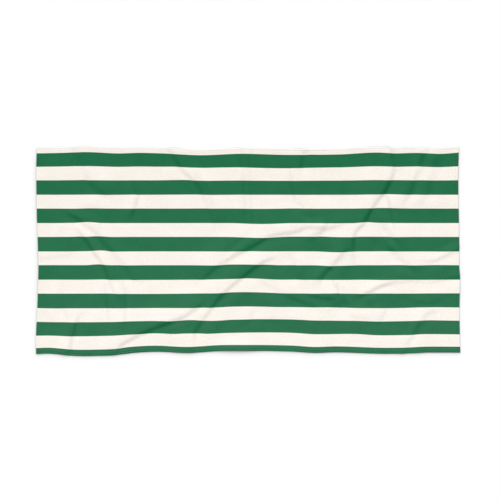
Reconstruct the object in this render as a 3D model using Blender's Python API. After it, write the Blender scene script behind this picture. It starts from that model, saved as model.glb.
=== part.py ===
"""A striped beach towel, laid out face up on a flat surface with soft creases in it.

The towel is one cloth. It is worked out in three steps: the flat cut cloth, the
place on the surface where each of its points lies, and the height to which the
folds lift it there. +X runs along the towel, +Y across it, and the surface is at
Z = 0. All sizes are in metres.
"""

from collections import namedtuple

import bpy
import numpy as np

LENGTH = 1.524  # the cloth laid out flat, along the stripes
WIDTH = 0.762
THICKNESS = 0.0026  # short pile on the face, loops on the back
STEP = 0.00762  # pitch of the grid that the folds are first worked out on
KEPT_SHARE = 0.130  # share of that grid's triangles that the finished sheet keeps
SETTLE = 0.0003  # cloth that would stand up by less than this lies flat on the surface

# How the cloth is drawn in, and how far from each edge that is felt.
END_DRAW = 0.0066  # at each short end, spread evenly over the length
TOP_DRAW, TOP_DRAW_REACH = 0.0107, 0.050
BOTTOM_DRAW, BOTTOM_DRAW_REACH = 0.0173, 0.080
TOP_WAVE_REACH, BOTTOM_WAVE_REACH, END_WAVE_REACH = 0.095, 0.140, 0.080

# The waves of the four edges: place along the edge, and how far the edge stands out there, in millimetres.
TOP_WAVE = (
    (-762, 1), (-668, 3), (-580, 6), (-473, 1), (-387, 3), (-279, -1), (-172, -6),
    (-21, 0), (150, -4), (330, -3), (451, 4), (530, 1), (610, 3), (690, -1), (762, 4),
)
BOTTOM_WAVE = (
    (-762, 4), (-710, 3), (-623, 11), (-495, 9), (-408, 0), (-330, -4), (-215, 0), (-100, -7),
    (60, -7), (160, -5), (237, 0), (325, -2), (480, 3), (580, 2), (645, -1), (762, -1),
)
LEFT_WAVE = ((-381, 5), (-300, 5), (-195, 0), (-55, -4), (45, -1), (124, 2), (307, 4), (381, 2))
RIGHT_WAVE = ((-381, 4), (-300, 2), (-195, 1), (-98, 3), (-55, 0), (40, 0), (217, -3), (307, -3), (381, -1))

# Places where the folds carry the stripes sideways: the middle of the place, along and across, how far the cloth shifts
# across there, and half its length and its breadth, in millimetres.
Drift = namedtuple("Drift", "along across shift half_along half_across")
DRIFTS = (
    Drift(-710, -247, -2.5, 78, 133),
    Drift(-580, 104, 4.1, 51, 67),
    Drift(-538, 2, 3.5, 47, 130),
    Drift(-513, -305, 3.3, 251, 75),
    Drift(-357, -176, -2.2, 194, 120),
    Drift(-242, 273, 1.5, 112, 107),
    Drift(-211, -288, 4.9, 74, 76),
    Drift(-124, -245, -2.2, 70, 84),
    Drift(-8, -126, 4.0, 131, 159),
    Drift(44, 81, -3.3, 113, 106),
    Drift(82, 306, -3.0, 218, 74),
    Drift(112, -272, 4.1, 258, 86),
    Drift(322, -23, -2.8, 87, 139),
    Drift(383, -296, 2.3, 79, 59),
    Drift(421, 109, 2.9, 47, 59),
    Drift(476, -189, -1.5, 200, 91),
    Drift(493, 181, 1.6, 115, 124),
    Drift(648, -257, 1.8, 188, 99),
)

# A crease is a soft trough between two low swells.
FADE = 0.34  # share of a crease's length over which each end dies out
MOST_FADE = 0.070
PULL, PULL_REACH = 0.22, 0.016  # how far the cloth is drawn into the crease, as a share of its height

# Name, height of the cloth beside the crease, how far the swells above and below it reach, how wide the steep wall
# above it and the gentle one below it are, and the crease's route from left to right, in millimetres. A route that
# leaves the towel runs on past its edge.
Fold = namedtuple("Fold", "name height above below steep gentle route")
FOLDS = (
    Fold("left slant", 6.2, 41, 54, 7, 36, (
        (-636, 88), (-604, 63), (-583, 35), (-563, 2), (-540, -28), (-526, -48), (-507, -89), (-493, -124),
        (-473, -165), (-457, -187))),
    Fold("right diagonal", 5.4, 130, 78, 8, 45, (
        (383, -53), (380, 14), (387, 62), (415, 94), (435, 129), (467, 180), (490, 206), (506, 237), (526, 291),
        (517, 351), (521, 418))),
    Fold("lower diagonal", 5.2, 130, 35, 10, 39, (
        (-456, -398), (-456, -349), (-411, -318), (-354, -291), (-277, -260), (-214, -232), (-142, -175))),
    Fold("long arc", 4.3, 130, 101, 9, 43, (
        (-183, -127), (-122, -72), (-52, -24), (-5, -1), (49, 31), (93, 51), (171, 64), (215, 80), (287, 76),
        (372, 102))),
    Fold("upper left curve", 4.3, 81, 42, 8, 32, (
        (-318, 414), (-278, 347), (-240, 287), (-206, 258), (-174, 216), (-151, 166), (-135, 117), (-121, 56))),
    Fold("left slant twin", 3.7, 63, 57, 9, 34, (
        (-684, 144), (-611, 110), (-585, 88), (-551, 65), (-526, 32), (-500, 5), (-469, -29), (-438, -67),
        (-420, -102), (-379, -135))),
    Fold("second diagonal", 3.8, 123, 84, 7, 36, (
        (-179, -398), (-192, -316), (-170, -265), (-142, -229), (-106, -177), (-54, -126), (3, -80), (54, -44),
        (119, -18))),
    Fold("lower left upright", 4.5, 73, 98, 9, 40, (
        (-642, -417), (-630, -330), (-618, -286), (-607, -245), (-590, -214), (-580, -194))),
    Fold("middle inner bow", 4.4, 89, 80, 11, 30, (
        (132, -10), (150, -25), (168, -49), (174, -82), (187, -117), (199, -162))),
    Fold("right diagonal foot", 4.7, 65, 60, 10, 38, ((239, -146), (273, -90), (305, -57), (340, -17), (373, 28))),
    Fold("upper right nick", 4.0, 87, 32, 10, 28, (
        (187, 257), (188, 280), (197, 310), (203, 346), (220, 366), (213, 419))),
    Fold("knot upright", 4.3, 37, 57, 12, 21, ((320, -80), (304, -110), (318, -133), (324, -170), (339, -206))),
    Fold("right upright", 3.4, 54, 71, 9, 32, (
        (547, 127), (570, 185), (587, 212), (600, 251), (621, 293), (621, 315), (643, 365), (663, 415))),
    Fold("small left bow", 3.8, 47, 65, 7, 36, (
        (-431, 98), (-414, 125), (-405, 154), (-396, 195), (-407, 219), (-421, 277))),
    Fold("arc spur", 4.6, 78, 28, 10, 32, ((235, 25), (246, 54), (269, 65), (291, 121))),
    Fold("right bow", 3.5, 101, 122, 12, 28, (
        (457, 49), (484, 29), (506, 1), (532, -26), (565, -50), (590, -70), (629, -91))),
    Fold("lower right bow", 3.2, 52, 77, 10, 36, (
        (570, -422), (572, -337), (597, -308), (609, -281), (623, -260), (633, -241), (655, -224), (698, -212))),
    Fold("right bow twin", 3.5, 112, 75, 9, 30, ((458, 113), (481, 92), (494, 73), (508, 52), (536, 25), (544, -17))),
    Fold("right end crease", 3.3, 48, 58, 7, 30, (
        (606, -48), (639, -42), (667, -40), (700, -24), (726, -12), (797, 17))),
    Fold("knot level", 3.4, 56, 56, 9, 33, ((192, -161), (234, -167), (271, -176), (294, -175), (324, -178))),
    Fold("upper left hook", 3.0, 80, 140, 11, 29, (
        (-638, 408), (-608, 319), (-582, 266), (-554, 222), (-511, 193), (-460, 175))),
    Fold("sweep start", 2.9, 45, 38, 8, 25, (
        (389, -174), (416, -159), (439, -150), (459, -137), (488, -126), (540, -110))),
    Fold("upper right loop", 2.6, 105, 106, 17, 30, (
        (140, 317), (151, 258), (158, 222), (168, 183), (196, 158), (211, 126), (300, 107))),
    Fold("knot upright twin", 3.3, 28, 42, 9, 11, ((319, -91), (323, -130), (329, -159), (348, -197))),
    Fold("right inner upright", 2.9, 33, 42, 13, 25, ((482, 211), (503, 182), (509, 144), (518, 107), (525, 67))),
    Fold("middle slope", 2.7, 73, 126, 9, 35, (
        (17, -97), (67, -126), (107, -144), (152, -173), (199, -190), (250, -212))),
    Fold("upper left twin", 2.7, 28, 42, 11, 27, ((-208, 310), (-167, 249), (-142, 205), (-124, 158), (-119, 124))),
    Fold("right sweep", 2.0, 83, 76, 7, 25, (
        (357, -184), (414, -160), (456, -140), (486, -128), (529, -117), (591, -109), (649, -116), (718, -103),
        (802, -97))),
    Fold("middle upright twin", 2.8, 50, 29, 10, 14, ((-6, 80), (-12, 180), (-17, 279), (-31, 421))),
    Fold("left faint twin", 3.1, 93, 77, 12, 9, ((-460, -94), (-439, -160), (-441, -292))),
    Fold("lower right nick", 2.6, 77, 48, 9, 27, ((473, -269), (478, -245), (488, -226), (497, -192))),
    Fold("right low sweep", 2.0, 54, 39, 12, 19, ((552, -184), (600, -190), (641, -195), (687, -182), (717, -151))),
    Fold("far right upright", 1.6, 48, 98, 12, 23, (
        (598, 144), (628, 178), (650, 205), (658, 251), (673, 289), (681, 339), (678, 420))),
    Fold("middle upright", 1.4, 110, 35, 13, 12, (
        (-185, -99), (-119, -54), (-68, 2), (-30, 33), (4, 62), (16, 94), (12, 191), (7, 300), (11, 423))),
    Fold("left end crease", 1.9, 88, 29, 10, 27, ((-821, -23), (-737, -36), (-702, -28), (-653, -24), (-592, -16))),
    Fold("lower left faint", 2.1, 64, 85, 11, 26, ((-676, -127), (-664, -174), (-654, -227), (-635, -252))),
    Fold("lower right level", 2.0, 77, 38, 9, 33, ((351, -243), (381, -241), (418, -246), (451, -241))),
    Fold("left faint upright", 2.2, 31, 85, 13, 8, ((-519, -100), (-505, -191), (-494, -296))),
    Fold("lower middle twin", 1.5, 86, 80, 11, 26, ((-23, -288), (-6, -262), (8, -244), (28, -195))),
    Fold("left nick", 1.6, 41, 58, 11, 24, ((-682, 37), (-673, 65), (-658, 92))),
    Fold("upper left level", 1.4, 69, 94, 14, 28, ((-624, 152), (-573, 150), (-518, 165))),
    Fold("upper right loop inner", 0.7, 72, 85, 12, 23, ((101, 252), (113, 219), (129, 195), (149, 177), (168, 149))),
)

# Places where an edge stands up off the surface, or is pressed towards it: the edge, the place along it, the height,
# half its length, its reach inward.
Lift = namedtuple("Lift", "edge place height half reach")
EDGE_LIFTS = (
    Lift("lower", -590, -0.8, 150, 60),
    Lift("lower", -40, 4.8, 110, 70),
    Lift("lower", 150, 1.0, 120, 60),
    Lift("left", 220, 3.0, 230, 60),
    Lift("left", -90, 3.4, 220, 60),
    Lift("left", -330, 1.0, 120, 60),
    Lift("right", 300, 0.8, 120, 60),
    Lift("right", -170, 0.6, 130, 60),
)


def smooth_curve(points, place):
    """A smooth curve through points, one a unit apart, read at each place from 0 to the last point's number."""
    points = np.asarray(points, float)
    slopes = np.gradient(points, axis=0)
    start = np.clip(np.floor(place).astype(int), 0, len(points) - 2)
    t = (place - start)[..., None]
    return (
        points[start] * (1 + 2 * t) * (1 - t) ** 2
        + points[start + 1] * t * t * (3 - 2 * t)
        + slopes[start] * t * (1 - t) ** 2
        - slopes[start + 1] * t * t * (1 - t)
    )


def edge_wave(rows, along):
    """How far an edge stands out at each place along it."""
    rows = np.array(rows) / 1000
    place = np.interp(along, rows[:, 0], np.arange(len(rows)))
    return smooth_curve(rows[:, 1:], place)[..., 0]


def bump(share):
    """1 at the middle and 0 from a share of 1 outward, with no corner."""
    return np.clip(1 - share**2, 0, None) ** 2


def ease(share):
    share = np.clip(share, 0, 1)
    return share * share * (3 - 2 * share)


def measure_from(route, x, y):
    """For each point, its distance above (+) or below (-) the route, the route's direction there, and the share of
    full height that the fold has there."""
    path = smooth_curve(np.array(route) / 1000, np.linspace(0, len(route) - 1, 12 * len(route)))
    steps = np.diff(path, axis=0)
    lengths = np.hypot(*steps.T)
    ends = np.append(0, np.cumsum(lengths))
    fade = min(FADE * ends[-1], MOST_FADE)
    nearest = np.full(x.shape, np.inf)
    above, direction_x, direction_y, run = (np.zeros(x.shape) for _ in range(4))
    for (start_x, start_y), (dx, dy), length, gone in zip(path, steps / lengths[:, None], lengths, ends):
        along = np.clip((x - start_x) * dx + (y - start_y) * dy, 0, length)
        off_x = x - start_x - along * dx
        off_y = y - start_y - along * dy
        distance = np.hypot(off_x, off_y)
        closer = distance < nearest
        nearest = np.where(closer, distance, nearest)
        above = np.where(closer, np.where(off_y * dx - off_x * dy >= 0, distance, -distance), above)
        direction_x = np.where(closer, dx, direction_x)
        direction_y = np.where(closer, dy, direction_y)
        run = np.where(closer, gone + along, run)
    return above, direction_x, direction_y, ease(run / fade) * ease((ends[-1] - run) / fade)


def laid(along, across):
    """Where points of the cut cloth lie, with its centre at 0, 0: their x, y and z."""
    from_top = WIDTH / 2 - across
    from_bottom = WIDTH / 2 + across
    from_left = LENGTH / 2 + along
    from_right = LENGTH / 2 - along
    x = (
        along * (1 - 2 * END_DRAW / LENGTH)
        - edge_wave(LEFT_WAVE, across) * np.exp(-((from_left / END_WAVE_REACH) ** 2))
        + edge_wave(RIGHT_WAVE, across) * np.exp(-((from_right / END_WAVE_REACH) ** 2))
    )
    y = (
        across
        - TOP_DRAW * np.exp(-from_top / TOP_DRAW_REACH)
        + BOTTOM_DRAW * np.exp(-from_bottom / BOTTOM_DRAW_REACH)
        + edge_wave(TOP_WAVE, along) * np.exp(-((from_top / TOP_WAVE_REACH) ** 2))
        - edge_wave(BOTTOM_WAVE, along) * np.exp(-((from_bottom / BOTTOM_WAVE_REACH) ** 2))
    )
    for drift in DRIFTS:
        share = bump((along * 1000 - drift.along) / drift.half_along)
        y += drift.shift / 1000 * share * bump((across * 1000 - drift.across) / drift.half_across)
    height = np.zeros(x.shape)
    pull_x = np.zeros(x.shape)
    pull_y = np.zeros(x.shape)
    for fold in FOLDS:
        above, direction_x, direction_y, share = measure_from(fold.route, x, y)
        reach = np.where(above > 0, fold.above, fold.below) / 1000
        wall = np.where(above > 0, fold.steep, fold.gentle) / 1000
        standing = fold.height / 1000 * share
        height += standing * bump(above / reach) * (1 - np.exp(-((above / wall) ** 2)))
        drawn = -PULL * standing * above / PULL_REACH * np.exp(1 - np.abs(above) / PULL_REACH)
        pull_x -= drawn * direction_y
        pull_y += drawn * direction_x
    sides = {"lower": (along, from_bottom), "left": (across, from_left), "right": (across, from_right)}
    for lift in EDGE_LIFTS:
        place, inward = sides[lift.edge]
        share = bump((place * 1000 - lift.place) / lift.half) * bump(inward * 1000 / lift.reach)
        height += lift.height / 1000 * share
    return x + pull_x, y + pull_y, np.clip(height - SETTLE, 0, None)


def cloth_material():
    material = bpy.data.materials.new("towel cloth")
    material.use_nodes = True
    shader = material.node_tree.nodes["Principled BSDF"]
    shader.inputs["Base Color"].default_value = (0.96, 0.90, 0.82, 1)
    shader.inputs["Roughness"].default_value = 0.95
    shader.inputs["Metallic"].default_value = 0
    return material


def add_grid(mesh, columns, rows):
    """The cloth's underside as a grid of square cells, each point already where it lies."""
    along, across = np.meshgrid(
        np.linspace(-LENGTH / 2, LENGTH / 2, columns + 1),
        np.linspace(-WIDTH / 2, WIDTH / 2, rows + 1),
    )
    x, y, z = laid(along, across)
    x -= (x.min() + x.max()) / 2
    y -= (y.min() + y.max()) / 2
    number = np.arange(along.size).reshape(along.shape)
    corners = (number[:-1, :-1], number[:-1, 1:], number[1:, 1:], number[1:, :-1])
    mesh.from_pydata(
        np.stack([x, y, z], -1).reshape(-1, 3).tolist(), [], np.stack(corners, -1).reshape(-1, 4).tolist()
    )


def keep_fewer_faces(sheet):
    """Leaves faces where the folds need them, and few where the cloth is flat."""
    fewer = sheet.modifiers.new("fewer faces", "DECIMATE")
    fewer.ratio = KEPT_SHARE
    lighter = bpy.data.meshes.new_from_object(sheet.evaluated_get(bpy.context.evaluated_depsgraph_get()))
    sheet.modifiers.remove(fewer)
    sheet.data = lighter
    for vertex in lighter.vertices:
        if vertex.co.z < SETTLE:
            vertex.co.z = 0


def towel():
    mesh = bpy.data.meshes.new("towel grid")
    add_grid(mesh, round(LENGTH / STEP), round(WIDTH / STEP))
    mesh.materials.append(cloth_material())
    sheet = bpy.data.objects.new("towel", mesh)
    bpy.context.collection.objects.link(sheet)
    keep_fewer_faces(sheet)
    thick = sheet.modifiers.new("thickness", "SOLIDIFY")
    thick.thickness = THICKNESS
    thick.offset = 1
    return sheet


for old in list(bpy.data.objects):
    bpy.data.objects.remove(old, do_unlink=True)
towel()
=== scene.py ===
"""The looks of a striped beach towel, laid out face up with soft creases in it.

The cloth is a fine closed sheet on the same folds as the solid that it replaces: a printed short pile
on its face, plain loops on its back, and a turned hem with a row of stitches along all four edges.
Sizes are in metres, +X runs along the towel, +Y across it, and the surface it lies on is at Z = 0.
Places on the cloth are given on the flat cut cloth, from its centre: along, across. The creases' routes
are given where they lie.
"""

import math
from collections import namedtuple

import bpy
import numpy as np
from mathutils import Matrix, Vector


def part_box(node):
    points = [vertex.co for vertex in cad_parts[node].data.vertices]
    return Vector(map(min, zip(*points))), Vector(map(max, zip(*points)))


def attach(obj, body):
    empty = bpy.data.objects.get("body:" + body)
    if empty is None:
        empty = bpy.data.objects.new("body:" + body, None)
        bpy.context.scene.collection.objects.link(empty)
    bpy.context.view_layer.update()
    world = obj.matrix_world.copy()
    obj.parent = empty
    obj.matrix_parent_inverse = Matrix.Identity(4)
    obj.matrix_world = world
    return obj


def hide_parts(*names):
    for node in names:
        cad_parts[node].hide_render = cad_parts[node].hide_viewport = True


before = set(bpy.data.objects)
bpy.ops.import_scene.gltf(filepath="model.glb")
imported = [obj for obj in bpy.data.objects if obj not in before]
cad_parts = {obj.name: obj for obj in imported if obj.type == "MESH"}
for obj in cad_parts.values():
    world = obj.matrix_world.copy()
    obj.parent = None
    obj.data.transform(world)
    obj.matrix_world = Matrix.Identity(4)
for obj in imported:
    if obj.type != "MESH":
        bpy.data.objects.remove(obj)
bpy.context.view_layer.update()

LENGTH = 1.524  # the cloth laid out flat, along the stripes
WIDTH = 0.762
THICKNESS = 0.0026
STRIPE = WIDTH / 15  # 14 whole stripes and half a stripe at each long edge
SPREAD = 0.0006  # how far the green print has spread over each line between the stripes
SETTLE = 0.0003  # cloth that would stand up by less than this lies flat on the surface

# How the cloth is drawn in, and how far from each edge that is felt.
END_DRAW = 0.0066  # at each short end, spread evenly over the length
TOP_DRAW, TOP_DRAW_REACH = 0.0107, 0.050
BOTTOM_DRAW, BOTTOM_DRAW_REACH = 0.0173, 0.080
TOP_WAVE_REACH, BOTTOM_WAVE_REACH, END_WAVE_REACH = 0.095, 0.140, 0.080

# The waves of the four edges: place along the edge, and how far the edge stands out there, in
# millimetres.
TOP_WAVE = (
    (-762, 1), (-668, 3), (-580, 6), (-473, 1), (-387, 3), (-279, -1), (-172, -6),
    (-21, 0), (150, -4), (330, -3), (451, 4), (530, 1), (610, 3), (690, -1), (762, 4),
)
BOTTOM_WAVE = (
    (-762, 4), (-710, 3), (-623, 11), (-495, 9), (-408, 0), (-330, -4), (-215, 0), (-100, -7),
    (60, -7), (160, -5), (237, 0), (325, -2), (480, 3), (580, 2), (645, -1), (762, -1),
)
LEFT_WAVE = ((-381, 5), (-300, 5), (-195, 0), (-55, -4), (45, -1), (124, 2), (307, 4), (381, 2))
RIGHT_WAVE = (
    (-381, 4), (-300, 2), (-195, 1), (-98, 3), (-55, 0), (40, 0), (217, -3), (307, -3), (381, -1),
)

# Places where the folds carry the stripes sideways: the middle of the place, along and across, how far
# the cloth shifts across there, and half the place's length and breadth, in millimetres.
Drift = namedtuple("Drift", "along across shift half_along half_across")
DRIFTS = (
    Drift(-710, -247, -2.5, 78, 133),
    Drift(-580, 104, 4.1, 51, 67),
    Drift(-538, 2, 3.5, 47, 130),
    Drift(-513, -305, 3.3, 251, 75),
    Drift(-357, -176, -2.2, 194, 120),
    Drift(-242, 273, 1.5, 112, 107),
    Drift(-211, -288, 4.9, 74, 76),
    Drift(-124, -245, -2.2, 70, 84),
    Drift(-8, -126, 4.0, 131, 159),
    Drift(44, 81, -3.3, 113, 106),
    Drift(82, 306, -3.0, 218, 74),
    Drift(112, -272, 4.1, 258, 86),
    Drift(322, -23, -2.8, 87, 139),
    Drift(383, -296, 2.3, 79, 59),
    Drift(421, 109, 2.9, 47, 59),
    Drift(476, -189, -1.5, 200, 91),
    Drift(493, 181, 1.6, 115, 124),
    Drift(648, -257, 1.8, 188, 99),
)

# A crease is a soft trough between two low swells. Its line gets painted shade, a little darker,
# and on cream that painted shade is greyed by mixing in white.
CREASE_HALF = 0.0052  # how wide that line is
PAINTED_CREASE_SHADE = 10.0  # how much painted shade the line gets for each metre of the fold's height
GREEN_PAINTED_SHADE = 0.77  # the share of that painted shade on green
PAINTED_SHADE_GREYING = 0.60  # how much white is mixed in on cream, as a share of that painted shade
FADE = 0.34  # share of a crease's length over which each end dies out
MOST_FADE = 0.070
PULL, PULL_REACH = 0.22, 0.016  # how far the cloth is drawn into the crease, as a share of its height

ROUTE_STEPS = 12  # steps into which a stretch between two points of a route is cut

# Name, height of the cloth beside the crease, how far the swells above and below it reach, how wide the
# steep wall above it and the gentle one below it are, and the crease's route where it lies, from left to
# right, in millimetres. A route that leaves the towel runs on past its edge.
Fold = namedtuple("Fold", "name height above below steep gentle route")
FOLDS = (
    Fold("left slant", 6.2, 41, 54, 7, 36, (
        (-636, 88), (-604, 63), (-583, 35), (-563, 2), (-540, -28), (-526, -48), (-507, -89),
        (-493, -124), (-473, -165), (-457, -187))),
    Fold("right diagonal", 5.4, 130, 78, 8, 45, (
        (383, -53), (380, 14), (387, 62), (415, 94), (435, 129), (467, 180), (490, 206), (506, 237),
        (526, 291), (517, 351), (521, 418))),
    Fold("lower diagonal", 5.2, 130, 35, 10, 39, (
        (-456, -398), (-456, -349), (-411, -318), (-354, -291), (-277, -260), (-214, -232),
        (-142, -175))),
    Fold("long arc", 4.3, 130, 101, 9, 43, (
        (-183, -127), (-122, -72), (-52, -24), (-5, -1), (49, 31), (93, 51), (171, 64), (215, 80),
        (287, 76), (372, 102))),
    Fold("upper left curve", 4.3, 81, 42, 8, 32, (
        (-318, 414), (-278, 347), (-240, 287), (-206, 258), (-174, 216), (-151, 166), (-135, 117),
        (-121, 56))),
    Fold("left slant twin", 3.7, 63, 57, 9, 34, (
        (-684, 144), (-611, 110), (-585, 88), (-551, 65), (-526, 32), (-500, 5), (-469, -29),
        (-438, -67), (-420, -102), (-379, -135))),
    Fold("second diagonal", 3.8, 123, 84, 7, 36, (
        (-179, -398), (-192, -316), (-170, -265), (-142, -229), (-106, -177), (-54, -126), (3, -80),
        (54, -44), (119, -18))),
    Fold("lower left upright", 4.5, 73, 98, 9, 40, (
        (-642, -417), (-630, -330), (-618, -286), (-607, -245), (-590, -214), (-580, -194))),
    Fold("middle inner bow", 4.4, 89, 80, 11, 30, (
        (132, -10), (150, -25), (168, -49), (174, -82), (187, -117), (199, -162))),
    Fold("right diagonal foot", 4.7, 65, 60, 10, 38, (
        (239, -146), (273, -90), (305, -57), (340, -17), (373, 28))),
    Fold("upper right nick", 4.0, 87, 32, 10, 28, (
        (187, 257), (188, 280), (197, 310), (203, 346), (220, 366), (213, 419))),
    Fold("knot upright", 4.3, 37, 57, 12, 21, (
        (320, -80), (304, -110), (318, -133), (324, -170), (339, -206))),
    Fold("right upright", 3.4, 54, 71, 9, 32, (
        (547, 127), (570, 185), (587, 212), (600, 251), (621, 293), (621, 315), (643, 365),
        (663, 415))),
    Fold("small left bow", 3.8, 47, 65, 7, 36, (
        (-431, 98), (-414, 125), (-405, 154), (-396, 195), (-407, 219), (-421, 277))),
    Fold("arc spur", 4.6, 78, 28, 10, 32, ((235, 25), (246, 54), (269, 65), (291, 121))),
    Fold("right bow", 3.5, 101, 122, 12, 28, (
        (457, 49), (484, 29), (506, 1), (532, -26), (565, -50), (590, -70), (629, -91))),
    Fold("lower right bow", 3.2, 52, 77, 10, 36, (
        (570, -422), (572, -337), (597, -308), (609, -281), (623, -260), (633, -241), (655, -224),
        (698, -212))),
    Fold("right bow twin", 3.5, 112, 75, 9, 30, (
        (458, 113), (481, 92), (494, 73), (508, 52), (536, 25), (544, -17))),
    Fold("right end crease", 3.3, 48, 58, 7, 30, (
        (606, -48), (639, -42), (667, -40), (700, -24), (726, -12), (797, 17))),
    Fold("knot level", 3.4, 56, 56, 9, 33, (
        (192, -161), (234, -167), (271, -176), (294, -175), (324, -178))),
    Fold("upper left hook", 3.0, 80, 140, 11, 29, (
        (-638, 408), (-608, 319), (-582, 266), (-554, 222), (-511, 193), (-460, 175))),
    Fold("sweep start", 2.9, 45, 38, 8, 25, (
        (389, -174), (416, -159), (439, -150), (459, -137), (488, -126), (540, -110))),
    Fold("upper right loop", 2.6, 105, 106, 17, 30, (
        (140, 317), (151, 258), (158, 222), (168, 183), (196, 158), (211, 126), (300, 107))),
    Fold("knot upright twin", 3.3, 28, 42, 9, 11, ((319, -91), (323, -130), (329, -159), (348, -197))),
    Fold("right inner upright", 2.9, 33, 42, 13, 25, (
        (482, 211), (503, 182), (509, 144), (518, 107), (525, 67))),
    Fold("middle slope", 2.7, 73, 126, 9, 35, (
        (17, -97), (67, -126), (107, -144), (152, -173), (199, -190), (250, -212))),
    Fold("upper left twin", 2.7, 28, 42, 11, 27, (
        (-208, 310), (-167, 249), (-142, 205), (-124, 158), (-119, 124))),
    Fold("right sweep", 2.0, 83, 76, 7, 25, (
        (357, -184), (414, -160), (456, -140), (486, -128), (529, -117), (591, -109), (649, -116),
        (718, -103), (802, -97))),
    Fold("middle upright twin", 2.8, 50, 29, 10, 14, ((-6, 80), (-12, 180), (-17, 279), (-31, 421))),
    Fold("left faint twin", 3.1, 93, 77, 12, 9, ((-460, -94), (-439, -160), (-441, -292))),
    Fold("lower right nick", 2.6, 77, 48, 9, 27, ((473, -269), (478, -245), (488, -226), (497, -192))),
    Fold("right low sweep", 2.0, 54, 39, 12, 19, (
        (552, -184), (600, -190), (641, -195), (687, -182), (717, -151))),
    Fold("far right upright", 1.6, 48, 98, 12, 23, (
        (598, 144), (628, 178), (650, 205), (658, 251), (673, 289), (681, 339), (678, 420))),
    Fold("middle upright", 1.4, 110, 35, 13, 12, (
        (-185, -99), (-119, -54), (-68, 2), (-30, 33), (4, 62), (16, 94), (12, 191), (7, 300),
        (11, 423))),
    Fold("left end crease", 1.9, 88, 29, 10, 27, (
        (-821, -23), (-737, -36), (-702, -28), (-653, -24), (-592, -16))),
    Fold("lower left faint", 2.1, 64, 85, 11, 26, (
        (-676, -127), (-664, -174), (-654, -227), (-635, -252))),
    Fold("lower right level", 2.0, 77, 38, 9, 33, ((351, -243), (381, -241), (418, -246), (451, -241))),
    Fold("left faint upright", 2.2, 31, 85, 13, 8, ((-519, -100), (-505, -191), (-494, -296))),
    Fold("lower middle twin", 1.5, 86, 80, 11, 26, ((-23, -288), (-6, -262), (8, -244), (28, -195))),
    Fold("left nick", 1.6, 41, 58, 11, 24, ((-682, 37), (-673, 65), (-658, 92))),
    Fold("upper left level", 1.4, 69, 94, 14, 28, ((-624, 152), (-573, 150), (-518, 165))),
    Fold("upper right loop inner", 0.7, 72, 85, 12, 23, (
        (101, 252), (113, 219), (129, 195), (149, 177), (168, 149))),
)

# Painted shade on a crease's line, where that isn't what the fold's height gives.
PAINTED_SHADE_BY_FOLD = {
    "right inner upright": 0.14, "small left bow": 0.12, "left faint twin": 0.11,
    "upper right loop": 0.09, "knot upright": 0.09, "lower left faint": 0.08,
    "left faint upright": 0.07, "lower right nick": 0.07, "upper left twin": 0.06,
    "middle upright twin": 0.06, "upper left curve": 0.05, "upper left hook": 0.05,
    "lower middle twin": 0.05, "middle upright": 0.04, "lower right level": 0.03, "left nick": 0.02,
}

# Places where an edge stands up off the surface, or is pressed towards it: the edge, the place along it,
# the height, half the place's length, and its reach inward, in millimetres.
Lift = namedtuple("Lift", "edge place height half reach")
EDGE_LIFTS = (
    Lift("lower", -590, -0.8, 150, 60),
    Lift("lower", -40, 4.8, 110, 70),
    Lift("lower", 150, 1.0, 120, 60),
    Lift("left", 220, 3.0, 230, 60),
    Lift("left", -90, 3.4, 220, 60),
    Lift("left", -330, 1.0, 120, 60),
    Lift("right", 300, 0.8, 120, 60),
    Lift("right", -170, 0.6, 130, 60),
)

CELL = 0.0056  # pitch of the fine sheet
HEM_LINES = (0, 0.4, 1.1, 2.4, 4.6, 7.0, 8.1, 9.2, 10.3, 11.4, 13.6)  # its close lines, in millimetres
EDGE_ROUND = 0.0026
HEM = 0.011  # width of the turned hem
HEM_RISE, HEM_STEP = 0.0008, 0.0060  # how much its turned layers add, and over how far they end
SEAM = 0.0092  # the stitch row's distance from the edge
SEAM_SINK, SEAM_HALF = 0.0006, 0.0024  # the groove that the stitches pull, on the face and on the back
SEAM_PAINTED_SHADE, RIM_PAINTED_SHADE = 0.009, 0.095  # painted shade in the stitches' groove and round the rim
RIM_HALF = 0.0042
UNEVEN = 0.00028  # how much the pile's thickness varies
UNEVEN_WAVES = 28
UNEVEN_SHORTEST, UNEVEN_LONGEST = 0.045, 0.180

STITCH, STITCH_GAP = 0.0030, 0.0012  # a stitch's length, and the gap to the next
THREAD = 0.00026  # the thread's radius
THREAD_END = 0.55  # the share of it at a stitch's ends
ARCH, SUNK = 2.2, 1.2  # how high a stitch arches and how deep its ends lie in the cloth, in thread radii
THREAD_RINGS, THREAD_SIDES = 5, 6

MM_PER_PIXEL = 3.583
PHOTO_SIDE = 500  # pixels
PHOTO_CENTRE = (0.0059, 0.0046)  # what the middle of the photograph shows, from the cloth's own middle
LENS, SENSOR = 85, 36
SKY, CEILING = 0.60, 0.55  # light from the walls, and the ceiling's share of it
WALLS_TO, CEILING_FROM = 0.45, 0.95  # where the walls end and the ceiling starts; 1 is straight up
KEY = 2.80  # the strength of the key light, which comes from the upper left
KEY_WIDTH, KEY_TILT, KEY_TURN = 80, 42, 15  # in degrees

# A surface's sheen, and how strongly and how deep its pile, loops or twist stand out.
Finish = namedtuple("Finish", "roughness specular strength depth")
PILE_FINISH = Finish(0.8, 0.05, 0.8, 0.0009)
LOOP_FINISH = Finish(1.0, 0.10, 1.0, 0.0010)
THREAD_FINISH = Finish(0.6, 0.50, 0.5, 0.0001)
COAT, COAT_ROUGHNESS, COAT_IOR = 0.15, 0.40, 1.5  # the pressed print's sheen

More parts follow.
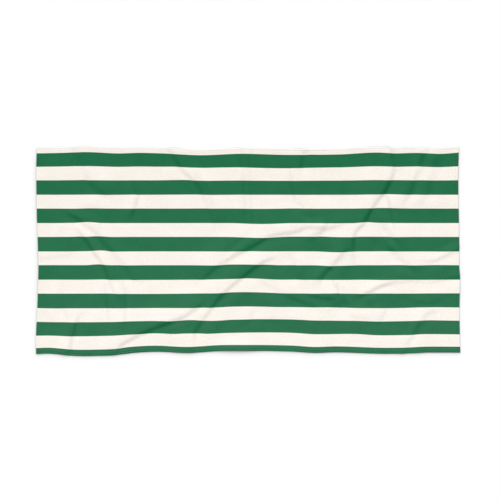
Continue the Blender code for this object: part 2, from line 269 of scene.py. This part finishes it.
CREAM = (0.850, 0.796, 0.734)
GREEN = (0.0020, 0.1290, 0.0470)
PAINTED_LIGHT_FROM = (-0.26, 0.97, 0.0)  # painted light: a slope that faces this way, towards the key light, is painted paler
GROUND = 0.006  # how much white is mixed into the print on the level
SLOPE_PAINTED_WHITE, LOWER_PAINTED_WHITE = 0.046, 0.015  # painted light: how much more white on such a slope, and how much more towards the lower edge
GREEN_SLOPE_PAINTED_LIGHT = 0.14  # painted light: how much paler the green is on such a slope
LOWER_PAINTED_LIGHT, LOWER_FROM = 0.042, 0.86  # painted light: how much paler the cloth gets downward, and where that stops
TONE = 0.956  # the print's paleness before the painted shade in the tufts' gaps and on the creases darkens it
TUFT_GAP_SHADE = 0.45  # painted shade: how much darker the gaps between the tufts are than their tips
TUFTS, TUFTS_ASTRAY = 770.0, 0.7  # tufts for each metre, and how far they stand out of line
FUZZ, FUZZ_SCALE = 1.1, 3000.0  # the loose ends on them
ROWS_TONE, ROWS_SCALE = 0.05, (6.0, 150.0, 1.0)  # the weave's rows, which run along the towel
BLOTCH_TONE, BLOTCH_SCALE = 0.08, 16.0
FIBRE_TONE, FIBRE_SCALE = 0.12, 1400.0
RAGGED, RAGGED_SCALE = 0.0008, 900.0  # how ragged the line between two stripes is
LINE_SHARPNESS = 16.0
LOOPS = (0.830, 0.820, 0.800)
LOOP_TONE, LOOP_GAP_SHADE = 1.18, 0.45  # how pale the loops' tops are, and the painted shade between them
LOOP_SCALE, LOOP_SHAPE = 620.0, (1.0, 0.55, 1.0)  # loops for each metre, and their stretch across
TWIST_SCALE = 900.0
FLOOR = (0.895, 0.895, 0.895)
FLOOR_HALF, FLOOR_DROP = 30.0, 0.0002
PAINTED_SHADOW, PAINTED_SHADOW_REACH = 0.8, 0.022  # the painted shadow on the floor beside the cloth's edge: how strong it is, and how far it reaches
PAINTED_SHADOW_TOWARDS = (0.10, 0.30, 0.95)  # the side from which most of the light comes there


# ---- the cloth's shape ----


def smooth_curve(points, place):
    """A smooth curve through points, one a unit apart, read at places from 0 to the last point's number."""
    points = np.asarray(points, float)
    slopes = np.gradient(points, axis=0)
    start = np.clip(np.floor(place).astype(int), 0, len(points) - 2)
    t = (place - start)[..., None]
    return (
        points[start] * (1 + 2 * t) * (1 - t) ** 2
        + points[start + 1] * t * t * (3 - 2 * t)
        + slopes[start] * t * (1 - t) ** 2
        - slopes[start + 1] * t * t * (1 - t)
    )


def edge_wave(rows, along):
    """How far an edge stands out at each place along it."""
    rows = np.array(rows) / 1000
    place = np.interp(along, rows[:, 0], np.arange(len(rows)))
    return smooth_curve(rows[:, 1:], place)[..., 0]


def bump(share):
    """1 at the middle and 0 from a share of 1 outward, with no corner."""
    return np.clip(1 - share**2, 0, None) ** 2


def ease(share):
    """0 at a share of 0 and 1 at a share of 1, with no corner at either end."""
    share = np.clip(share, 0, 1)
    return share * share * (3 - 2 * share)


def measure_from(route, x, y):
    """For each point, its distance above (+) or below (-) the route, the route's direction there, and the
    share of full height that the fold has there."""
    path = smooth_curve(np.array(route) / 1000, np.linspace(0, len(route) - 1, ROUTE_STEPS * len(route)))
    steps = np.diff(path, axis=0)
    lengths = np.hypot(*steps.T)
    ends = np.append(0, np.cumsum(lengths))
    fade = min(FADE * ends[-1], MOST_FADE)
    nearest = np.full(x.shape, np.inf)
    above, direction_x, direction_y, run = (np.zeros(x.shape) for _ in range(4))
    for (start_x, start_y), (dx, dy), length, gone in zip(path, steps / lengths[:, None], lengths, ends):
        along = np.clip((x - start_x) * dx + (y - start_y) * dy, 0, length)
        off_x = x - start_x - along * dx
        off_y = y - start_y - along * dy
        distance = np.hypot(off_x, off_y)
        closer = distance < nearest
        nearest = np.where(closer, distance, nearest)
        above = np.where(closer, np.where(off_y * dx - off_x * dy >= 0, distance, -distance), above)
        direction_x = np.where(closer, dx, direction_x)
        direction_y = np.where(closer, dy, direction_y)
        run = np.where(closer, gone + along, run)
    return above, direction_x, direction_y, ease(run / fade) * ease((ends[-1] - run) / fade)


def laid(along, across):
    """Where points of the cut cloth's underside lie, before the whole is centred: their x, y and z, and
    the painted shade along the creases' lines there."""
    from_top = WIDTH / 2 - across
    from_bottom = WIDTH / 2 + across
    from_left = LENGTH / 2 + along
    from_right = LENGTH / 2 - along
    x = (
        along * (1 - 2 * END_DRAW / LENGTH)
        - edge_wave(LEFT_WAVE, across) * np.exp(-((from_left / END_WAVE_REACH) ** 2))
        + edge_wave(RIGHT_WAVE, across) * np.exp(-((from_right / END_WAVE_REACH) ** 2))
    )
    y = (
        across
        - TOP_DRAW * np.exp(-from_top / TOP_DRAW_REACH)
        + BOTTOM_DRAW * np.exp(-from_bottom / BOTTOM_DRAW_REACH)
        + edge_wave(TOP_WAVE, along) * np.exp(-((from_top / TOP_WAVE_REACH) ** 2))
        - edge_wave(BOTTOM_WAVE, along) * np.exp(-((from_bottom / BOTTOM_WAVE_REACH) ** 2))
    )
    for drift in DRIFTS:
        share = bump((along * 1000 - drift.along) / drift.half_along)
        y += drift.shift / 1000 * share * bump((across * 1000 - drift.across) / drift.half_across)
    height = np.zeros(x.shape)
    crease = np.zeros(x.shape)
    pull_x = np.zeros(x.shape)
    pull_y = np.zeros(x.shape)
    for fold in FOLDS:
        above, direction_x, direction_y, share = measure_from(fold.route, x, y)
        reach = np.where(above > 0, fold.above, fold.below) / 1000
        wall = np.where(above > 0, fold.steep, fold.gentle) / 1000
        standing = fold.height / 1000 * share
        height += standing * bump(above / reach) * (1 - np.exp(-((above / wall) ** 2)))
        # painted shade along the crease's line
        shade = PAINTED_SHADE_BY_FOLD.get(fold.name, PAINTED_CREASE_SHADE * fold.height / 1000)
        crease += shade * np.sqrt(share) * np.exp(-((above / CREASE_HALF) ** 2))
        drawn = -PULL * standing * above / PULL_REACH * np.exp(1 - np.abs(above) / PULL_REACH)
        pull_x -= drawn * direction_y
        pull_y += drawn * direction_x
    sides = {"lower": (along, from_bottom), "left": (across, from_left), "right": (across, from_right)}
    for lift in EDGE_LIFTS:
        place, inward = sides[lift.edge]
        share = bump((place * 1000 - lift.place) / lift.half) * bump(inward * 1000 / lift.reach)
        height += lift.height / 1000 * share
    return x + pull_x, y + pull_y, np.clip(height - SETTLE, 0, None), crease


def unevenness(along, across):
    """Slow changes of the pile's thickness, from -1 to 1 or so, as crossing waves in all directions."""
    dice = np.random.default_rng(7)
    total = np.zeros(along.shape)
    for _ in range(UNEVEN_WAVES):
        turn, start = dice.uniform(0, 2 * math.pi, 2)
        across_wave = along * math.cos(turn) + across * math.sin(turn)
        total += np.sin(2 * math.pi * across_wave / dice.uniform(UNEVEN_SHORTEST, UNEVEN_LONGEST) + start)
    return total / math.sqrt(UNEVEN_WAVES)


def from_edge(along, across):
    """Distance to the nearest edge of the cut cloth."""
    return np.minimum(LENGTH / 2 - np.abs(along), WIDTH / 2 - np.abs(across))


def faces_of_cloth(along, across):
    """The cloth's upper and lower surface at points of the cut cloth, each as x, y, z, and the painted
    shade there, on the creases, the seam and the rim."""
    x, y, z, crease = laid(along, across)
    x += centre_x
    y += centre_y
    inward = from_edge(along, across)
    round_off = np.sqrt(1 - (1 - np.clip(inward / EDGE_ROUND, 0, 1)) ** 2)
    thick = THICKNESS + UNEVEN * unevenness(along, across) * ease(inward / HEM)
    thick += HEM_RISE * (1 - ease((inward - HEM) / HEM_STEP))
    seam = bump((inward - SEAM) / SEAM_HALF)
    thick -= SEAM_SINK * seam
    middle = THICKNESS / 2
    upper = z + middle + (thick - middle) * round_off
    lower = z + middle - middle * round_off + SEAM_SINK * seam
    # painted shade in the seam's groove and round the rim
    crease += SEAM_PAINTED_SHADE * seam + RIM_PAINTED_SHADE * bump(inward / RIM_HALF)
    return np.stack([x, y, upper], -1), np.stack([x, y, lower], -1), crease


def grid_lines(side):
    """Grid lines across one side of the cloth, with close ones at both edges."""
    rim = side / 2 - np.array(HEM_LINES) / 1000
    inner = rim[-1] - CELL
    return np.concatenate([-rim, np.linspace(-inner, inner, round(2 * inner / CELL) + 1), rim[::-1]])


def mesh_object(name, points, faces, cut, materials):
    """A smooth mesh that keeps where each of its points is on the cut cloth."""
    mesh = bpy.data.meshes.new(name)
    mesh.from_pydata(points.reshape(-1, 3).tolist(), [], faces)
    for material in materials:
        mesh.materials.append(material)
    flat = np.concatenate([cut.reshape(-1, 2), np.zeros((cut.size // 2, 1))], 1)
    mesh.attributes.new("cut", "FLOAT_VECTOR", "POINT").data.foreach_set("vector", flat.ravel())
    mesh.shade_smooth()
    piece = bpy.data.objects.new(name, mesh)
    bpy.context.scene.collection.objects.link(piece)
    return piece


def cloth(face_material, back_material):
    """The sheet: its face and back meet in one line round the rim."""
    along, across = np.meshgrid(grid_lines(LENGTH), grid_lines(WIDTH))
    upper, lower, crease = faces_of_cloth(along, across)
    top = np.arange(along.size).reshape(along.shape)
    bottom = top.copy()
    inside = bottom[1:-1, 1:-1]
    inside[:] = along.size + np.arange(inside.size).reshape(inside.shape)

    def both(on_face, on_back):
        width = on_face.shape[2:]
        return np.concatenate([on_face.reshape(-1, *width), on_back[1:-1, 1:-1].reshape(-1, *width)])

    def quads(number):
        corners = (number[:-1, :-1], number[:-1, 1:], number[1:, 1:], number[1:, :-1])
        return np.stack(corners, -1).reshape(-1, 4)

    cut = np.stack([along, across], -1)
    faces = np.concatenate([quads(top), quads(bottom)[:, ::-1]])
    piece = mesh_object(
        "towel_cloth", both(upper, lower), faces.tolist(), both(cut, cut), (face_material, back_material)
    )
    # the painted shade on creases, seam and rim, kept on the points
    painted_shade = piece.data.attributes.new("crease", "FLOAT", "POINT")
    painted_shade.data.foreach_set("value", both(crease, crease))
    piece.data.polygons.foreach_set("material_index", np.repeat([0, 1], len(faces) // 2))
    return piece


# ---- the hem's stitches ----


def seam_points():
    """The start and the end of every stitch of the seam, on the cut cloth."""
    reach_x, reach_y = LENGTH / 2 - SEAM, WIDTH / 2 - SEAM
    corners = np.array([(-1, -1), (1, -1), (1, 1), (-1, 1)]) * (reach_x, reach_y)
    starts, ends = [], []
    for begin, finish in zip(corners, np.roll(corners, -1, 0)):
        run = np.linalg.norm(finish - begin)
        way = (finish - begin) / run
        number = int(run / (STITCH + STITCH_GAP))
        first = np.linspace(STITCH_GAP, run - STITCH_GAP - STITCH, number)[:, None]
        starts.append(begin + first * way)
        ends.append(begin + (first + STITCH) * way)
    return np.concatenate(starts), np.concatenate(ends)


def stitches(name, on_face, material):
    """One seam as a mesh: each stitch is a short thread, arched, with both ends in the cloth."""
    starts, ends = seam_points()
    share = np.linspace(0, 1, THREAD_RINGS)
    cut = starts[:, None] * (1 - share[:, None]) + ends[:, None] * share[:, None]
    upper, lower, _ = faces_of_cloth(cut[..., 0], cut[..., 1])
    line = upper if on_face else lower
    line[..., 2] += (1 if on_face else -1) * THREAD * (ARCH * np.sin(math.pi * share) - SUNK)
    line[..., 2] = np.maximum(line[..., 2], THREAD)
    way = line[:, -1] - line[:, 0]
    way /= np.linalg.norm(way, axis=-1, keepdims=True)
    sideways = np.cross(way, (0, 0, 1))
    rise = np.cross(sideways, way)
    turn = np.linspace(0, 2 * math.pi, THREAD_SIDES, endpoint=False)[:, None]
    around = np.cos(turn) * sideways[:, None, None, :] + np.sin(turn) * rise[:, None, None, :]
    radius = THREAD * (THREAD_END + (1 - THREAD_END) * np.sin(math.pi * share))
    points = line[:, :, None, :] + around * radius[:, None, None]
    number = np.arange(len(starts) * THREAD_RINGS * THREAD_SIDES).reshape(-1, THREAD_RINGS, THREAD_SIDES)
    following = np.roll(number, -1, 2)
    walls = np.stack([number[:, :-1], following[:, :-1], following[:, 1:], number[:, 1:]], -1)
    caps = [*number[:, 0, ::-1].tolist(), *number[:, -1].tolist()]
    faces = walls.reshape(-1, 4).tolist() + caps
    return mesh_object(name, points, faces, np.repeat(cut[:, :, None], THREAD_SIDES, 2), (material,))


# ---- materials ----


class Nodes:
    """Short ways to add shader nodes to one material and join them."""

    def __init__(self, name):
        self.material = bpy.data.materials.new(name)
        self.material.use_nodes = True
        self.tree = self.material.node_tree
        self.shader = self.tree.nodes["Principled BSDF"]

    def add(self, kind, **settings):
        node = self.tree.nodes.new(kind)
        for key, value in settings.items():
            setattr(node, key, value)
        return node

    def join(self, source, target):
        if isinstance(source, bpy.types.NodeSocket):
            self.tree.links.new(source, target)
        else:
            target.default_value = source

    def math(self, operation, first, second=0.0, third=0.0, clamp=False):
        node = self.add("ShaderNodeMath", operation=operation, use_clamp=clamp)
        for source, socket in zip((first, second, third), node.inputs):
            self.join(source, socket)
        return node.outputs[0]

    def mix(self, share, first, second):
        node = self.add("ShaderNodeMix", data_type="RGBA")
        self.join(share, node.inputs["Factor"])
        colours = [s for s in node.inputs if s.type == "RGBA"]
        for source, socket in zip((first, second), colours):
            self.join((*source, 1) if isinstance(source, tuple) else source, socket)
        return next(s for s in node.outputs if s.type == "RGBA")

    def noise(self, place, scale, detail=2.0):
        node = self.add("ShaderNodeTexNoise")
        self.join(place, node.inputs["Vector"])
        node.inputs["Scale"].default_value = scale
        node.inputs["Detail"].default_value = detail
        return node.outputs[0]

    def toned(self, colour, tone):
        """The colour, made paler or darker by tone."""
        node = self.add("ShaderNodeHueSaturation")
        self.join((*colour, 1) if isinstance(colour, tuple) else colour, node.inputs["Color"])
        self.join(tone, node.inputs["Value"])
        return node.outputs[0]

    def surface(self, colour, heights, finish, invert=False):
        """Give the shader its colour, its finish and its small relief, and return the relief's normal."""
        relief = self.add("ShaderNodeBump", invert=invert)
        relief.inputs["Strength"].default_value = finish.strength
        relief.inputs["Distance"].default_value = finish.depth
        self.join(heights, relief.inputs["Height"])
        self.join(relief.outputs[0], self.shader.inputs["Normal"])
        self.join(colour, self.shader.inputs["Base Color"])
        self.shader.inputs["Roughness"].default_value = finish.roughness
        self.shader.inputs["Specular IOR Level"].default_value = finish.specular
        return relief.outputs[0]

    def attribute(self, name, output):
        return self.add("ShaderNodeAttribute", attribute_name=name).outputs[output]

    def stretched(self, place, scale):
        node = self.add("ShaderNodeVectorMath", operation="MULTIPLY")
        self.join(place, node.inputs[0])
        node.inputs[1].default_value = scale
        return node.outputs[0]


def stripes(nodes, place):
    """1 on a green stripe and 0 on a cream one, with a slightly ragged line between, as a print has."""
    split = nodes.add("ShaderNodeSeparateXYZ")
    nodes.join(place, split.inputs[0])
    ragged = nodes.math("SUBTRACT", nodes.noise(place, RAGGED_SCALE, 1.0), 0.5)
    from_top = nodes.math("SUBTRACT", WIDTH / 2 - STRIPE / 2, split.outputs[1])
    shifted = nodes.math("MULTIPLY_ADD", ragged, RAGGED, from_top)
    wave = nodes.math("SINE", nodes.math("MULTIPLY", shifted, math.pi / STRIPE))
    spread = LINE_SHARPNESS * math.pi * SPREAD / STRIPE
    return nodes.math("MULTIPLY_ADD", wave, LINE_SHARPNESS, 0.5 + spread, clamp=True)


def pile_heights(nodes, place):
    """Tufts in rows, 1.3 mm apart, each a little different."""
    tufts = nodes.add("ShaderNodeTexVoronoi", feature="F1")
    nodes.join(place, tufts.inputs["Vector"])
    tufts.inputs["Scale"].default_value = TUFTS
    tufts.inputs["Randomness"].default_value = TUFTS_ASTRAY
    fuzz = nodes.noise(place, FUZZ_SCALE, 3.0)
    return nodes.math("SUBTRACT", nodes.math("MULTIPLY", fuzz, FUZZ), tufts.outputs["Distance"])


def printed_pile(name):
    """The face: the stripes printed on short pile, with painted light on its slopes and painted shade in
    its creases.
    """
    nodes = Nodes(name)
    place = nodes.attribute("cut", "Vector")
    split = nodes.add("ShaderNodeSeparateXYZ")
    nodes.join(place, split.inputs[0])
    lower = nodes.math("MULTIPLY_ADD", split.outputs[1], -1 / WIDTH, 0.5)
    lower = nodes.math("MINIMUM", lower, LOWER_FROM)
    # painted light: how much the surface faces the key light, which comes from the upper left
    facing = nodes.add("ShaderNodeVectorMath", operation="DOT_PRODUCT")
    nodes.join(nodes.add("ShaderNodeNewGeometry").outputs["Normal"], facing.inputs[0])
    facing.inputs[1].default_value = PAINTED_LIGHT_FROM
    facing = facing.outputs["Value"]
    printed = stripes(nodes, place)
    painted_shade = nodes.attribute("crease", "Fac")

    # white mixed into the print, with painted light on slopes facing the key light and towards the lower
    # edge
    white_and_painted_light = nodes.math("MULTIPLY_ADD", facing, SLOPE_PAINTED_WHITE, GROUND)
    white_and_painted_light = nodes.math("MULTIPLY_ADD", lower, LOWER_PAINTED_WHITE, white_and_painted_light, clamp=True)
    # painted shade on cream, greyed by mixing in white
    shade_on_cream = nodes.math("MULTIPLY", painted_shade, nodes.math("SUBTRACT", 1.0, printed))
    white_and_painted_light = nodes.math("MULTIPLY_ADD", shade_on_cream, PAINTED_SHADE_GREYING, white_and_painted_light)
    colour = nodes.mix(white_and_painted_light, nodes.mix(printed, CREAM, GREEN), (1.0, 1.0, 1.0))

    rows = nodes.noise(nodes.stretched(place, ROWS_SCALE), 1.0, 2.0)
    blotches = nodes.noise(place, BLOTCH_SCALE, 3.0)
    fibres = nodes.noise(place, FIBRE_SCALE, 2.0)
    pile = pile_heights(nodes, place)
    tone = nodes.math("MULTIPLY_ADD", rows, ROWS_TONE, TONE)
    # painted light: paler towards the lower edge, and on green slopes that face the key light
    tone = nodes.math("MULTIPLY_ADD", lower, LOWER_PAINTED_LIGHT, tone)
    tone = nodes.math("MULTIPLY_ADD", nodes.math("MULTIPLY", facing, printed), GREEN_SLOPE_PAINTED_LIGHT, tone)
    tone = nodes.math("MULTIPLY_ADD", blotches, BLOTCH_TONE, tone)
    tone = nodes.math("MULTIPLY_ADD", fibres, FIBRE_TONE, tone)
    # painted shade in the gaps between the tufts
    tone = nodes.math("MULTIPLY_ADD", pile, TUFT_GAP_SHADE, tone)
    # painted shade on the creases, seam and rim, weaker on green
    darker = nodes.math("MULTIPLY", painted_shade, nodes.math("MULTIPLY_ADD", printed, GREEN_PAINTED_SHADE - 1, 1.0))
    tone = nodes.math("SUBTRACT", tone, darker)

    relief = nodes.surface(nodes.toned(colour, tone), pile, PILE_FINISH)
    nodes.join(relief, nodes.shader.inputs["Coat Normal"])
    nodes.shader.inputs["Coat Weight"].default_value = COAT
    nodes.shader.inputs["Coat Roughness"].default_value = COAT_ROUGHNESS
    nodes.shader.inputs["Coat IOR"].default_value = COAT_IOR
    return nodes.material


def loop_back(name):
    """The back: short rows of plain upright loops, 1.6 mm apart."""
    nodes = Nodes(name)
    loops = nodes.add("ShaderNodeTexVoronoi", feature="F1")
    nodes.join(nodes.stretched(nodes.attribute("cut", "Vector"), LOOP_SHAPE), loops.inputs["Vector"])
    loops.inputs["Scale"].default_value = LOOP_SCALE
    between = loops.outputs["Distance"]
    # painted shade between the loops
    tone = nodes.math("MULTIPLY_ADD", between, -LOOP_GAP_SHADE, LOOP_TONE)
    nodes.surface(nodes.toned(LOOPS, tone), between, LOOP_FINISH, invert=True)
    return nodes.material


def thread(name, printed):
    """Sewing thread with its twist. On the face it is printed over with the stripes, like the pile."""
    nodes = Nodes(name)
    place = nodes.attribute("cut", "Vector")
    twist = nodes.add("ShaderNodeTexWave", bands_direction="DIAGONAL")
    nodes.join(place, twist.inputs["Vector"])
    twist.inputs["Scale"].default_value = TWIST_SCALE
    colour = nodes.mix(stripes(nodes, place), CREAM, GREEN) if printed else (*LOOPS, 1)
    nodes.surface(colour, twist.outputs["Fac"], THREAD_FINISH)
    return nodes.material


# ---- stage, light and camera ----


def floor():
    """The plain floor, with a painted shadow beside the cloth's edge."""
    nodes = Nodes("floor")
    # painted shadow: the floor is darkened where the cloth is near
    beside = nodes.add("ShaderNodeAmbientOcclusion", samples=16)
    beside.inputs["Distance"].default_value = PAINTED_SHADOW_REACH
    towards = nodes.add("ShaderNodeCombineXYZ")
    for socket, value in zip(towards.inputs, PAINTED_SHADOW_TOWARDS):
        socket.default_value = value
    nodes.join(towards.outputs[0], beside.inputs["Normal"])
    shade = nodes.math("MULTIPLY_ADD", beside.outputs["AO"], PAINTED_SHADOW, 1 - PAINTED_SHADOW, clamp=True)
    nodes.join(nodes.mix(shade, (0.0, 0.0, 0.0), FLOOR), nodes.shader.inputs["Base Color"])
    nodes.shader.inputs["Roughness"].default_value = 1.0
    nodes.shader.inputs["Specular IOR Level"].default_value = 0.0
    corners = [(x * FLOOR_HALF, y * FLOOR_HALF, 0) for x, y in ((-1, -1), (1, -1), (1, 1), (-1, 1))]
    mesh = bpy.data.meshes.new("floor")
    mesh.from_pydata(corners, [], [(0, 1, 2, 3)])
    mesh.materials.append(nodes.material)
    piece = bpy.data.objects.new("floor", mesh)
    piece.location.z = -FLOOR_DROP
    bpy.context.scene.collection.objects.link(piece)


def lights():
    """A wide key light in a pale studio, whose walls light the towel more than its ceiling does."""
    world = bpy.data.worlds.new("studio")
    world.use_nodes = True
    tree = world.node_tree
    background = tree.nodes["Background"]
    background.inputs["Strength"].default_value = SKY
    way = tree.nodes.new("ShaderNodeTexCoord")
    split = tree.nodes.new("ShaderNodeSeparateXYZ")
    fade = tree.nodes.new("ShaderNodeMapRange")
    fade.interpolation_type = "SMOOTHSTEP"
    tree.links.new(way.outputs["Generated"], split.inputs[0])
    tree.links.new(split.outputs[2], fade.inputs["Value"])
    ends = {"From Min": WALLS_TO, "From Max": CEILING_FROM, "To Min": 1.0, "To Max": CEILING}
    for name, value in ends.items():
        fade.inputs[name].default_value = value
    tree.links.new(fade.outputs[0], background.inputs["Color"])
    bpy.context.scene.world = world
    key = bpy.data.lights.new("key", "SUN")
    key.energy = KEY
    key.angle = math.radians(KEY_WIDTH)
    lamp = bpy.data.objects.new("key", key)
    lamp.rotation_euler = (math.radians(-KEY_TILT), 0, math.radians(KEY_TURN))
    bpy.context.scene.collection.objects.link(lamp)


def camera():
    """Straight above, with the photograph's middle and scale."""
    lens = bpy.data.cameras.new("camera")
    lens.lens = LENS
    lens.sensor_width = SENSOR
    view = bpy.data.objects.new("camera", lens)
    span = PHOTO_SIDE * MM_PER_PIXEL / 1000
    view.location = (centre_x + PHOTO_CENTRE[0], centre_y + PHOTO_CENTRE[1], span * LENS / SENSOR)
    bpy.context.scene.collection.objects.link(view)
    bpy.context.scene.camera = view
    bpy.context.scene.view_settings.view_transform = "Standard"


# ---- the whole ----

rim_along, rim_across = np.meshgrid(grid_lines(LENGTH), grid_lines(WIDTH))
rim_x, rim_y, *_ = laid(rim_along, rim_across)
solid_low, solid_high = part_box("towel")
centre_x = (solid_low.x + solid_high.x - rim_x.min() - rim_x.max()) / 2
centre_y = (solid_low.y + solid_high.y - rim_y.min() - rim_y.max()) / 2

camera()
towel = cloth(printed_pile("printed pile"), loop_back("loop back"))
seams = [
    stitches("hem_stitches_face", True, thread("printed thread", True)),
    stitches("hem_stitches_back", False, thread("plain thread", False)),
]
for piece in (towel, *seams):
    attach(piece, "root")
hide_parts("towel")
floor()
lights()
